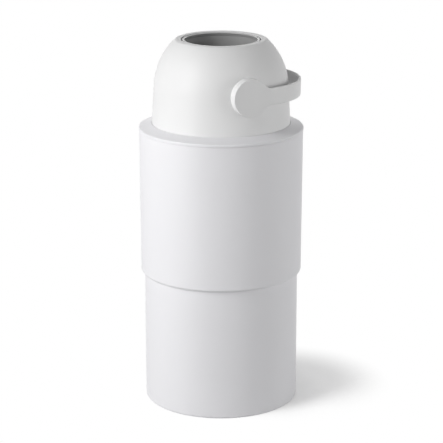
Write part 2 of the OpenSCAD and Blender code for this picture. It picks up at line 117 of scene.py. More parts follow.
class Value:
    """One output of a shader node, with Python's operators for its Math nodes."""

    def __init__(self, sheet: "Sheet", socket: bpy.types.NodeSocket) -> None:
        """Keep the socket and the sheet that it belongs to.

        Args:
            sheet: The material's node sheet.
            socket: The node output that holds the value.
        """
        self.sheet = sheet
        self.socket = socket

    def _math(self, operation: str, first: "Value | float", second: "Value | float") -> "Value":
        """Add one Math node.

        Args:
            operation: The Math node's operation.
            first: The first operand.
            second: The second operand.

        Returns:
            The node's output.
        """
        return self.sheet.node("ShaderNodeMath", {"operation": operation}, {0: first, 1: second})

    def __add__(self, other: "Value | float") -> "Value":
        """Sum."""
        return self._math("ADD", self, other)

    def __radd__(self, other: float) -> "Value":
        """Sum, from the right."""
        return self._math("ADD", other, self)

    def __sub__(self, other: "Value | float") -> "Value":
        """Difference."""
        return self._math("SUBTRACT", self, other)

    def __rsub__(self, other: float) -> "Value":
        """Difference, from the right."""
        return self._math("SUBTRACT", other, self)

    def __mul__(self, other: "Value | float") -> "Value":
        """Product."""
        return self._math("MULTIPLY", self, other)

    def __rmul__(self, other: float) -> "Value":
        """Product, from the right."""
        return self._math("MULTIPLY", other, self)


class Sheet:
    """The node sheet of one material, round one Principled shader."""

    def __init__(self, name: str) -> None:
        """Make an empty material.

        Args:
            name: The material's name.
        """
        self.material = bpy.data.materials.new(name)
        self.material.use_nodes = True
        self.tree = self.material.node_tree
        self.tree.nodes.clear()
        self.shader = self.tree.nodes.new("ShaderNodeBsdfPrincipled")
        self.out = self.tree.nodes.new("ShaderNodeOutputMaterial")
        self.tree.links.new(self.shader.outputs[0], self.out.inputs["Surface"])

    def node(self, kind: str, settings: dict | None = None, sockets: dict | None = None,
             out: int | str = 0) -> Value:
        """Add one node.

        Args:
            kind: The node's type.
            settings: Its properties, set first.
            sockets: Values or links of its inputs, by name or number.
            out: The output that is wanted.

        Returns:
            The wanted output.
        """
        made = self.tree.nodes.new(kind)
        for key, value in (settings or {}).items():
            setattr(made, key, value)
        for key, value in (sockets or {}).items():
            self.feed(made.inputs[key], value)
        return Value(self, made.outputs[out])

    def feed(self, socket: bpy.types.NodeSocket, value: object) -> None:
        """Link or set one input.

        Args:
            socket: The input.
            value: A Value to link, or a constant to set.
        """
        if isinstance(value, Value):
            self.tree.links.new(value.socket, socket)
        else:
            socket.default_value = value

    def set(self, **sockets: object) -> None:
        """Link or set inputs of the Principled shader, with underscores for spaces.

        Args:
            **sockets: Values or links by socket name.
        """
        for key, value in sockets.items():
            self.feed(self.shader.inputs[key.replace("_", " ")], value)

    def place(self, stretch: tuple[float, float, float] = EVEN) -> Value:
        """Object coordinates, stretched along the axes.

        Args:
            stretch: Scale along X, Y and Z.

        Returns:
            The coordinates.
        """
        coords = self.node("ShaderNodeTexCoord", out="Object")
        if stretch == EVEN:
            return coords
        return self.node("ShaderNodeMapping", {}, {"Vector": coords, "Scale": stretch})

    def height(self) -> Value:
        """Height above the floor, in metres."""
        return self.node("ShaderNodeSeparateXYZ", {}, {"Vector": self.place()}, "Z")

    def noise(self, size: float, detail: float = 2.0, rough: float = 0.5,
              stretch: tuple[float, float, float] = EVEN) -> Value:
        """Noise from 0 to 1.

        Args:
            size: Size of its features, in metres.
            detail: Number of finer layers.
            rough: Strength of the finer layers.
            stretch: Scale along X, Y and Z.

        Returns:
            The noise.
        """
        return self.node("ShaderNodeTexNoise", {"noise_dimensions": "3D"},
                         {"Vector": self.place(stretch), "Scale": 1.0 / size, "Detail": detail,
                          "Roughness": rough})

    def ramp(self, value: Value, low: float, high: float, from_level: float = 0.0,
             to_level: float = 1.0) -> Value:
        """Smooth step between two values.

        Args:
            value: The value that is tested.
            low: Where the step starts.
            high: Where it ends.
            from_level: Result below the step.
            to_level: Result above the step.

        Returns:
            The stepped value.
        """
        return self.node("ShaderNodeMapRange", {"interpolation_type": "SMOOTHSTEP"},
                         {"Value": value, "From Min": low, "From Max": high,
                          "To Min": from_level, "To Max": to_level})

    def shade(self, colour: tuple[float, float, float], level: Value) -> Value:
        """A colour times a brightness that varies.

        Args:
            colour: The colour.
            level: Brightness, about 1.

        Returns:
            The colour that varies.
        """
        grey = self.node("ShaderNodeCombineColor", {"mode": "RGB"}, {0: level, 1: level, 2: level})
        return self.node("ShaderNodeMix", {"data_type": "RGBA", "blend_type": "MULTIPLY"},
                         {0: 1.0, 6: (*colour, 1.0), 7: grey}, 2)

    def bump(self, layers: Iterable[tuple[Value, float]]) -> Value:
        """Bump from one or more height layers.

        Args:
            layers: Each layer's height from 0 to 1, and its depth in metres.

        Returns:
            The bent normal.
        """
        total: Value | None = None
        for value, depth in layers:
            part = value * (depth / MM)
            total = part if total is None else total + part
        return self.node("ShaderNodeBump", {}, {"Strength": 1.0, "Distance": MM,
                                                "Height": total}, "Normal")


# Finishes


@dataclass(frozen=True)
class MouldedPlastic:
    """Injection-moulded plastic with a fine spark-eroded grain.

    Attributes:
        name: The material's name.
        colour: Linear base colour.
        roughness: Mean roughness.
        grain: Size of the grain.
        grain_depth: Depth of the grain.
        flow: Change of brightness along the flow marks.
        dust: Darkening in patches near the floor.
        dust_low: Height up to which it is strongest.
        dust_top: Height up to which it reaches.
        dust_patch: Size of its patches.
        cloud: Size of the broad changes of tone and gloss.
        streak: Width of the flow marks.
        peel: Size of the skin's waviness.
        peel_depth: Depth of the waviness.
        rub: Width of the rubbed streaks.
        rub_depth: Depth of the rubbed streaks.
        cloud_rough: Change of roughness over the broad clouds.
        grain_rough: Change of roughness over the grain.
        rub_rough: Roughness that a rubbed streak adds.
        specular: Specular level.
    """

    name: str
    colour: tuple[float, float, float]
    roughness: float = 0.5
    grain: float = 0.55 * MM
    grain_depth: float = 0.018 * MM
    flow: float = 0.012
    dust: float = 0.0
    dust_low: float = 2 * MM
    dust_top: float = 26 * MM
    dust_patch: float = 9 * MM
    cloud: float = 160 * MM
    streak: float = 30 * MM
    peel: float = 7 * MM
    peel_depth: float = 0.045 * MM
    rub: float = 1.1 * MM
    rub_depth: float = 0.012 * MM
    cloud_rough: float = 0.09
    grain_rough: float = 0.10
    rub_rough: float = 0.12
    specular: float = 0.45

    def build(self) -> bpy.types.Material:
        """Make the material.

        Returns:
            The material.
        """
        sheet = Sheet(self.name)
        cloud = sheet.noise(self.cloud, detail=3.0)
        streak = sheet.noise(self.streak, stretch=UPRIGHT_STREAKS)
        grain = sheet.noise(self.grain, detail=1.5, rough=0.45)
        peel = sheet.noise(self.peel, detail=1.0)
        rubs = sheet.noise(self.rub, stretch=UPRIGHT_RUBS)
        rub = sheet.ramp(rubs, low=0.66, high=0.74) * sheet.ramp(cloud, low=0.5, high=0.72)
        level = 1.0 + (cloud - 0.5) * (2 * self.flow) + (streak - 0.5) * self.flow
        # The colour turns darker in patches near the floor.
        if self.dust:
            low = sheet.ramp(sheet.height(), self.dust_low, self.dust_top, from_level=1.0,
                             to_level=0.0)
            level = level - low * sheet.noise(self.dust_patch, detail=4.0, rough=0.6) * self.dust
        rough = (self.roughness + (cloud - 0.5) * self.cloud_rough
                 + (grain - 0.5) * self.grain_rough + rub * self.rub_rough)
        sheet.set(Base_Color=sheet.shade(self.colour, level), Roughness=rough,
                  Normal=sheet.bump([(grain, self.grain_depth), (peel, self.peel_depth),
                                     (rub, -self.rub_depth)]),
                  Specular_IOR_Level=self.specular)
        return sheet.material


@dataclass(frozen=True)
class SoftRubber:
    """Moulded soft rubber with a dusty bloom.

    Attributes:
        name: The material's name.
        colour: Linear base colour.
        bloom: Brightness that the bloom adds.
        cloud: Size of the bloom's patches.
        cloud_depth: Depth of those patches.
        pore: Size of the pores.
        pore_depth: Depth of the pores.
        roughness: Mean roughness.
        pore_rough: Change of roughness over the pores.
        specular: Specular level.
    """

    name: str
    colour: tuple[float, float, float]
    bloom: float = 0.35
    cloud: float = 6 * MM
    cloud_depth: float = 0.03 * MM
    pore: float = 0.4 * MM
    pore_depth: float = 0.02 * MM
    roughness: float = 0.78
    pore_rough: float = 0.12
    specular: float = 0.3

    def build(self) -> bpy.types.Material:
        """Make the material.

        Returns:
            The material.
        """
        sheet = Sheet(self.name)
        cloud = sheet.noise(self.cloud, detail=4.0, rough=0.6)
        pores = sheet.noise(self.pore, detail=1.0)
        sheet.set(Base_Color=sheet.shade(self.colour, 1.0 + (cloud - 0.4) * self.bloom),
                  Roughness=self.roughness + (pores - 0.5) * self.pore_rough,
                  Normal=sheet.bump([(pores, self.pore_depth), (cloud, self.cloud_depth)]),
                  Specular_IOR_Level=self.specular)
        return sheet.material


@dataclass(frozen=True)
class TurnedSteel:
    """Plated or turned steel with fine rings and small stains.

    Attributes:
        name: The material's name.
        colour: Linear base colour.
        roughness: Mean roughness.
        stain: Size of the stains.
        stain_shade: Change of brightness over the stains.
        stain_rough: Change of roughness over the stains.
        ring: Width of the turning marks.
        ring_rough: Change of roughness over the turning marks.
        ring_depth: Depth of the turning marks.
    """

    name: str
    colour: tuple[float, float, float]
    roughness: float = 0.34
    stain: float = 5 * MM
    stain_shade: float = 0.1
    stain_rough: float = 0.2
    ring: float = 0.25 * MM
    ring_rough: float = 0.15
    ring_depth: float = 0.008 * MM

    def build(self) -> bpy.types.Material:
        """Make the material.

        Returns:
            The material.
        """
        sheet = Sheet(self.name)
        cloud = sheet.noise(self.stain, detail=3.0)
        scratch = sheet.noise(self.ring, detail=1.0, stretch=TURNED_RINGS)
        dull = 1.0 - self.stain_shade / 2
        rough = (self.roughness + (cloud - 0.5) * self.stain_rough
                 + (scratch - 0.5) * self.ring_rough)
        sheet.set(Base_Color=sheet.shade(self.colour, dull + cloud * self.stain_shade),
                  Roughness=rough, Normal=sheet.bump([(scratch, self.ring_depth)]), Metallic=1.0)
        return sheet.material


class Finish(Enum):
    """Every finish of the bin."""

    SHELL = MouldedPlastic("white_shell_grain", (0.795, 0.792, 0.812), 0.52, dust=0.02)
    HEAD = MouldedPlastic("white_head_grain", (0.77, 0.77, 0.77), 0.50)
    HANDLE = MouldedPlastic("white_handle_grain", (0.77, 0.77, 0.77), 0.46,
                            grain=0.45 * MM, grain_depth=0.012 * MM)
    BORE = MouldedPlastic("grey_bore_smooth", (0.39, 0.39, 0.39), 0.32,
                          grain=0.35 * MM, grain_depth=0.005 * MM, flow=0.03)
    RIM = MouldedPlastic("light_rim", (0.54, 0.54, 0.54), 0.36, flow=0.02)
    GREY = MouldedPlastic("grey_inner_grain", (0.40, 0.405, 0.415), 0.5, flow=0.03)
    DARK = MouldedPlastic("dark_inner_grain", (0.12, 0.122, 0.128), 0.48, flow=0.05)
    RUBBER = SoftRubber("soft_rubber", (0.045, 0.045, 0.048))
    SEAL = SoftRubber("seal_rubber", (0.075, 0.076, 0.08), 0.2)
    STEEL = TurnedSteel("plated_steel", (0.60, 0.61, 0.63))


class Finishes:
    """Materials by finish, each made once."""

    def __init__(self) -> None:
        """Start with no material made."""
        self._made: dict[Finish, bpy.types.Material] = {}

    def get(self, finish: Finish) -> bpy.types.Material:
        """The material of a finish.

        Args:
            finish: The finish.

        Returns:
            Its material.
        """
        if finish not in self._made:
            self._made[finish] = finish.value.build()
        return self._made[finish]


# Mesh tools


@dataclass(frozen=True)
class Corner:
    """A corner of a revolved or swept outline.

    Attributes:
        r: Distance from the axis.
        z: Height along the axis.
        soft: Radius of the corner's rounding, or 0 for none.
    """

    r: float
    z: float
    soft: float = 0.0


def arc(centre: tuple[float, float], radius: float, start: float, stop: float,
        steps: int) -> list[Corner]:
    """Corners along an arc of an outline.

    Args:
        centre: The arc's centre, as radius and height.
        radius: Its radius.
        start: Angle of its first point, in degrees from the outward direction.
        stop: Angle of its last point.
        steps: Number of spans.

    Returns:
        The corners, both ends included.
    """
    turns = [math.radians(start + (stop - start) * i / steps) for i in range(steps + 1)]
    return [Corner(centre[0] + radius * math.cos(t), centre[1] + radius * math.sin(t))
            for t in turns]


class Turned:
    """A closed outline that is rounded at its corners and spun round Z."""

    def __init__(self, outline: Sequence[Corner], steps: int = 144, soft_steps: int = 4) -> None:
        """Keep the outline.

        Args:
            outline: Its corners in order.
            steps: Number of steps round the axis.
            soft_steps: Number of spans in a rounded corner.
        """
        self.outline = list(outline)
        self.steps = steps
        self.soft_steps = soft_steps

    def _reach(self, i: int) -> float:
        """Length that a corner's rounding takes off each of its two sides.

        Args:
            i: The corner's number.

        Returns:
            The length.
        """
        near = [self.outline[i - 1], self.outline[(i + 1) % len(self.outline)]]
        sides = [Vector((c.r - self.outline[i].r, c.z - self.outline[i].z)) for c in near]
        half = sides[0].angle(sides[1]) / 2
        most = ROUNDING_SHARE * min(side.length for side in sides)
        return min(self.outline[i].soft / math.tan(half), most)

    def _draw(self, bm: bmesh.types.BMesh) -> None:
        """Draw the outline as one face, with its corners rounded.

        Args:
            bm: The mesh that is drawn into.
        """
        verts = [bm.verts.new((c.r, 0.0, c.z)) for c in self.outline]
        bm.faces.new(verts)
        for i, corner in enumerate(self.outline):
            if corner.soft:
                bmesh.ops.bevel(bm, geom=[verts[i]], offset=self._reach(i), offset_type="OFFSET",
                                affect="VERTICES", segments=self.soft_steps, profile=0.5,
                                material=-1)

    def mesh(self) -> bmesh.types.BMesh:
        """Spin the outline.

        Returns:
            The closed mesh.
        """
        bm = bmesh.new()
        self._draw(bm)
        bmesh.ops.delete(bm, geom=list(bm.faces), context="FACES_ONLY")
        on_axis = [e for e in bm.edges if all(abs(v.co.x) < ON_PLANE for v in e.verts)]
        bmesh.ops.delete(bm, geom=on_axis, context="EDGES")
        bmesh.ops.spin(bm, geom=list(bm.edges) + list(bm.verts), cent=(0, 0, 0), axis=(0, 0, 1),
                       angle=2 * math.pi, steps=self.steps, use_merge=True)
        bmesh.ops.remove_doubles(bm, verts=list(bm.verts), dist=MERGE)
        bmesh.ops.recalc_face_normals(bm, faces=list(bm.faces))
        return bm


def plate(outline: Sequence[tuple[float, float]], thickness: float) -> bmesh.types.BMesh:
    """A flat plate that stands on a radius, with its outline given as radius and height.

    Args:
        outline: Its corners in order.
        thickness: Its thickness across the radius.

    Returns:
        The closed mesh.
    """
    bm = bmesh.new()
    bm.faces.new([bm.verts.new((r, -thickness / 2, z)) for r, z in outline])
    grown = bmesh.ops.extrude_face_region(bm, geom=list(bm.faces))
    moved = [g for g in grown["geom"] if isinstance(g, bmesh.types.BMVert)]
    bmesh.ops.translate(bm, verts=moved, vec=(0, thickness, 0))
    bmesh.ops.recalc_face_normals(bm, faces=list(bm.faces))
    return bm


class Workshop:
    """Joins meshes into pieces, dresses them and puts them on their bodies."""

    def __init__(self, finishes: Finishes) -> None:
        """Keep the finishes.

        Args:
            finishes: The materials.
        """
        self.finishes = finishes

    def piece(self, name: str, parts: Iterable[bmesh.types.BMesh], finish: Finish, body: Body,
              stands_for: Sequence[str]) -> None:
        """Make one piece from closed meshes.

        Args:
            name: The piece's name.
            parts: Its meshes. They are freed.
            finish: Its finish.
            body: The body that it rides on.
            stands_for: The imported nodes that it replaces.
        """
        data = bpy.data.meshes.new(name)
        whole = bmesh.new()
        for part in parts:
            part.to_mesh(data)
            part.free()
            whole.from_mesh(data)
        whole.to_mesh(data)
        whole.free()
        data.shade_smooth()
        data.set_sharp_from_angle(angle=math.radians(CREASE))
        data.materials.clear()
        data.materials.append(self.finishes.get(finish))
        made = bpy.data.objects.new(name, data)
        bpy.context.scene.collection.objects.link(made)
        weighted = made.modifiers.new("even_normals", "WEIGHTED_NORMAL")
        weighted.keep_sharp = True
        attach(made, body.value)
        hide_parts(*stands_for)
        LOG.info("%s: %d faces on %s, for %s", name, len(data.polygons), body.value,
                 ", ".join(stands_for))

    def dress(self, node: str, finish: Finish) -> None:
        """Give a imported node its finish.

        Args:
            node: The node's name.
            finish: The finish.
        """
        data = frame["nodes"][node].data
        data.materials.clear()
        data.materials.append(self.finishes.get(finish))
        LOG.info("%s: packed shape, %s", node, finish.name.lower())


def turned_copies(make: Callable[[], bmesh.types.BMesh], count: int,
                  first: float = 0.0) -> list[bmesh.types.BMesh]:
    """Copies of a mesh, evenly spaced round Z.

    Args:
        make: Makes one copy at angle 0.
        count: Number of copies.
        first: Angle of the first one, in degrees.

    Returns:
        The turned meshes.
    """
    made = []
    for i in range(count):
        bm = make()
        turn = Matrix.Rotation(math.radians(first + i * 360 / count), 4, "Z")
        bmesh.ops.transform(bm, matrix=turn, verts=list(bm.verts))
        made.append(bm)
    return made


def on_pivot(bm: bmesh.types.BMesh, side: Side, pivot: float) -> bmesh.types.BMesh:
    """Lay a mesh drawn round +Z on the pivot axis, pointing outwards.

    Args:
        bm: The mesh.
        side: The end of the axis that it points to.
        pivot: Height of the pivot axis.

    Returns:
        The same mesh.
    """
    turn = Matrix.Rotation(math.radians(90), 4, "X")
    place = Matrix.Translation((0, 0, pivot))
    bmesh.ops.transform(bm, matrix=place @ turn, verts=list(bm.verts))
    if side is Side.BACK:
        bmesh.ops.scale(bm, vec=(1, -1, 1), verts=list(bm.verts))
        bmesh.ops.reverse_faces(bm, faces=list(bm.faces))
    return bm


# Sub-assemblies


@dataclass
class LowerBin:
    """The straight lower bin with its ribs, lugs and feet.

    Attributes:
        wall: Wall thickness.
        floor: Floor thickness.
        lift: Height of the floor's underside.
        radius: Outer radius.
        top: Height of the rim.
        hollow_r: Radius of the shallow hollow under the floor.
        hollow: Depth of that hollow.
        rib_r: Radius at which a floor rib starts.
        rib_h: Height of a floor rib.
        rib_w: Width of a floor rib.
        lug_z: Height of the snap lugs.
        lug_h: Height of a lug.
        lug_w: Width of a lug.
        lug_nose: Height of a lug's upright face.
        lug_out: Distance by which a lug stands out.
        sunk: Depth by which a rib or a lug goes into the wall.
        foot_r: Radius of a foot.
        foot_in: Depth by which a foot goes into the floor.
        groove: Depth of the grooves in its tread.
        foot_place: Radius of the circle that the feet stand on.
    """

    wall: float = 2.8 * MM
    floor: float = 3.2 * MM
    lift: float = 1.0 * MM
    radius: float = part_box("base_bin")[1].x
    top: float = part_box("base_bin")[1].z
    hollow_r: float = 81 * MM
    hollow: float = 0.8 * MM
    rib_r: float = 60 * MM
    rib_h: float = 3 * MM
    rib_w: float = 2 * MM
    lug_z: float = 235.8 * MM
    lug_h: float = 7 * MM
    lug_w: float = 18 * MM
    lug_nose: float = 1.5 * MM
    lug_out: float = 1.9 * MM
    sunk: float = 1 * MM
    foot_r: float = 9 * MM
    foot_in: float = 1.6 * MM
    groove: float = 0.4 * MM
    foot_place: float = 108 * MM

    def shell(self) -> bmesh.types.BMesh:
        """The bucket.

        Returns:
            The closed mesh.
        """
        deck = self.lift + self.floor
        inner = self.radius - self.wall
        under = self.lift + self.hollow
        return Turned([
            Corner(0, under), Corner(self.hollow_r, under, 1 * MM),
            Corner(self.hollow_r + 3 * MM, self.lift, 1 * MM),
            Corner(self.radius, self.lift, 4 * MM),
            Corner(self.radius, self.top, 0.9 * MM), Corner(inner, self.top, 0.9 * MM),
            Corner(inner, deck, 3 * MM), Corner(0, deck)], steps=180).mesh()

    def rib(self) -> bmesh.types.BMesh:
        """One low rib on the floor.

        Returns:
            The closed mesh.
        """
        deck, start, end = self.lift + self.floor, self.rib_r, self.radius - self.sunk
        return plate([(start, deck - BITE), (end, deck - BITE), (end, deck + self.rib_h),
                      (start + 2 * MM, deck + self.rib_h), (start, deck + 1 * MM)], self.rib_w)

    def lug(self) -> bmesh.types.BMesh:
        """One snap lug on the outside, inside the sleeve.

        Returns:
            The closed mesh.
        """
        root, tip = self.radius - self.sunk, self.radius + self.lug_out
        return plate([(root, self.lug_z), (tip, self.lug_z), (tip, self.lug_z + self.lug_nose),
                      (root, self.lug_z + self.lug_h)], self.lug_w)

    def foot(self) -> bmesh.types.BMesh:
        """One soft foot, with rings in its tread.

        Returns:
            The closed mesh.
        """
        groove, top = self.groove, self.lift + self.foot_in
        bm = Turned([
            Corner(0, groove), Corner(2 * MM, groove), Corner(2.5 * MM, 0), Corner(5 * MM, 0),
            Corner(5.5 * MM, groove), Corner(6.5 * MM, groove), Corner(7 * MM, 0),
            Corner(self.foot_r, 0, 0.4 * MM), Corner(self.foot_r, top), Corner(0, top)],
            steps=40).mesh()
        bmesh.ops.translate(bm, verts=list(bm.verts), vec=(self.foot_place, 0, 0))
        return bm

    def build(self, shop: Workshop) -> None:
        """Make the bin and its feet.

        Args:
            shop: The workshop.
        """
        shop.piece("lower_bin", [self.shell(), *turned_copies(self.rib, count=12),
                                 *turned_copies(self.lug, count=6, first=15)],
                   Finish.SHELL, Body.BIN, ["base_bin"])
        shop.piece("soft_feet", turned_copies(self.foot, count=4, first=45), Finish.RUBBER,
                   Body.BIN, ["anti_slip_feet"])


@dataclass
class Sleeve:
    """The upper sleeve with its ledges and gussets.

    Attributes:
        wall: Wall thickness.
        bottom: Height of the lower edge.
        top: Height of the top rim.
        top_r: Outer radius at the top rim.
        low_r: Outer radius above the lower edge.
        edge: Radius of the lower edge's rounding.
        lip_r: Inner radius of the turned-in lip.
        lip_h: Thickness of that lip.
        stack_z: Height of the ledge that rests on the lower bin.
        stack_r: Inner radius of that ledge.
        bag_z: Height of the ledge that carries the bag ring.
        bag_r: Inner radius of that ledge.
        ledge_h: Thickness of both ledges.
        gusset_h: Depth of a gusset below the bag ring's ledge.
        gusset_w: Width of a gusset.
    """

    wall: float = 2.8 * MM
    bottom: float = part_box("upper_sleeve")[0].z
    top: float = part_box("upper_sleeve")[1].z
    top_r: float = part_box("upper_sleeve")[1].x
    low_r: float = 138.9 * MM
    edge: float = 5 * MM
    lip_r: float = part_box("base_bin")[1].x + 0.4 * MM
    lip_h: float = 4 * MM
    stack_z: float = 262 * MM
    stack_r: float = 130.6 * MM
    bag_z: float = 459.9 * MM
    bag_r: float = 128 * MM
    ledge_h: float = 3 * MM
    gusset_h: float = 22 * MM
    gusset_w: float = 2 * MM

    def shell(self) -> bmesh.types.BMesh:
        """The sleeve's wall, lip and two ledges.

        Returns:
            The closed mesh.
        """
        low_in, top_in = self.low_r - self.wall, self.top_r - self.wall
        outside = arc((self.low_r - self.edge, self.bottom + self.edge), self.edge, -90, 0, 8)
        lip, under_bag = self.bottom + self.lip_h, self.bag_z - self.ledge_h
        over_stack = self.stack_z + self.ledge_h
        return Turned([
            Corner(self.lip_r, self.bottom), *outside, Corner(self.top_r, self.top, 0.7 * MM),
            Corner(top_in, self.top, 0.9 * MM), Corner(top_in, self.bag_z, 0.8 * MM),
            Corner(self.bag_r, self.bag_z, 0.6 * MM), Corner(self.bag_r, under_bag, 0.6 * MM),
            Corner(top_in - 0.05 * MM, under_bag, 1 * MM),
            Corner(low_in + 0.1 * MM, over_stack, 1 * MM),
            Corner(self.stack_r, over_stack, 0.6 * MM),
            Corner(self.stack_r, self.stack_z, 0.3 * MM), Corner(low_in, self.stack_z, 0.8 * MM),
            Corner(low_in, lip, 0.8 * MM), Corner(self.lip_r, lip, 0.5 * MM)], steps=180).mesh()

    def gusset(self) -> bmesh.types.BMesh:
        """One gusset under the bag ring's ledge.

        Returns:
            The closed mesh.
        """
        wall = self.top_r - self.wall
        top, foot = self.bag_z - self.ledge_h + BITE, self.bag_z - self.gusset_h
        return plate([(self.bag_r + 1 * MM, top), (wall + 0.6 * MM, top),
                      (wall + 0.6 * MM, foot), (wall - 1.4 * MM, foot)], self.gusset_w)

    def build(self, shop: Workshop) -> None:
        """Make the sleeve.

        Args:
            shop: The workshop.
        """
        shop.piece("sleeve", [self.shell(), *turned_copies(self.gusset, count=16, first=11.25)],
                   Finish.SHELL, Body.BIN, ["upper_sleeve"])


@dataclass
class Collar:
    """The head's proud collar with its skirt, bosses and ribs.

    Attributes:
        radius: Outer radius.
        bottom: Height of the flange's underside.
        top: Height of the sloping face at the dome.
        inner: Inner radius, at the dome.
        edge: Radius of the outer edge's rounding.
        plate_z: Height of the cradle's plate.
        foot_r: Outer radius of the dome's foot, which the collar clamps.
        foot_h: Thickness of that foot.
        ring_r: Outer radius of the ring that centres the plate.
        wall: Thickness of the skirt.
        flange_h: Thickness of the flange below its sloping face.
        rib_w: Width of a rib.
        boss_place: Radius of the circle that the screw bosses stand on.
        boss_r: Radius of a boss.
        hole_r: Radius of its screw hole.
        hole_h: Depth of that hole.
        skirt_r: Outer radius of the skirt.
        skirt_z: Height of the skirt's lower edge.
    """

    radius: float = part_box("head_collar")[1].x
    bottom: float = 481.3 * MM
    top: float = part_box("head_collar")[1].z
    inner: float = 118.6 * MM
    edge: float = 2.6 * MM
    plate_z: float = 474.4 * MM
    foot_r: float = 122.4 * MM
    foot_h: float = 3 * MM
    ring_r: float = 124.5 * MM
    wall: float = 2.7 * MM
    flange_h: float = 3 * MM
    rib_w: float = 1.6 * MM
    boss_place: float = 127.6 * MM
    boss_r: float = 4 * MM
    hole_r: float = 1.5 * MM
    hole_h: float = 4.6 * MM
    skirt_r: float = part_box("head_gasket")[1].x
    skirt_z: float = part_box("head_collar")[0].z

    def face_z(self, r: float) -> float:
        """Height of the sloping top face.

        Args:
            r: Distance from the axis.

        Returns:
            The height.
        """
        outer = self.radius - self.edge
        low = self.bottom + 2 * self.edge
        return low + (outer - r) * (self.top - low) / (outer - self.inner)

    def shell(self) -> bmesh.types.BMesh:
        """The flange with its skirt and locating ring.

        Returns:
            The closed mesh.
        """
        skirt_in = self.skirt_r - self.wall
        foot = self.plate_z + self.foot_h
        return Turned([
            Corner(self.inner, self.top, 0.7 * MM), Corner(self.inner, foot, 0.3 * MM),
            Corner(self.foot_r, foot), Corner(self.foot_r, self.plate_z),
            Corner(self.ring_r, self.plate_z),
            Corner(self.ring_r, self.face_z(self.ring_r) - self.flange_h, 0.5 * MM),
            Corner(skirt_in, self.face_z(skirt_in) - self.flange_h, 0.5 * MM),
            Corner(skirt_in, self.skirt_z), Corner(self.skirt_r, self.skirt_z, 0.8 * MM),
            Corner(self.skirt_r, self.bottom), Corner(self.radius, self.bottom, 0.7 * MM),
            Corner(self.radius, self.bottom + 2 * self.edge - 0.4 * MM, 2.4 * MM)],
            steps=180).mesh()

    def rib(self) -> bmesh.types.BMesh:
        """One rib under the flange.

        Returns:
            The closed mesh.
        """
        first, last = self.ring_r - BITE, self.skirt_r - self.wall + BITE
        return plate([(first, self.plate_z + 1 * MM), (last, self.plate_z + 1 * MM),
                      (last, self.face_z(last) - 2.4 * MM),
                      (first, self.face_z(first) - 2.4 * MM)], self.rib_w)

    def boss(self) -> bmesh.types.BMesh:
        """One screw boss under the flange.

        Returns:
            The closed mesh.
        """
        base, head = self.plate_z, self.face_z(self.boss_place) - 1.5 * MM
        end = base + self.hole_h
        bm = Turned([Corner(self.hole_r, base), Corner(self.boss_r, base),
                     Corner(self.boss_r, head), Corner(0, head), Corner(0, end),
                     Corner(self.hole_r, end)], steps=24).mesh()
        bmesh.ops.translate(bm, verts=list(bm.verts), vec=(self.boss_place, 0, 0))
        return bm

    def build(self, shop: Workshop) -> None:
        """Make the collar.

        Args:
            shop: The workshop.
        """
        shop.piece("collar", [self.shell(), *turned_copies(self.rib, count=24, first=7.5),
                              *turned_copies(self.boss, count=6, first=30)],
                   Finish.SHELL, Body.HEAD, ["head_collar"])


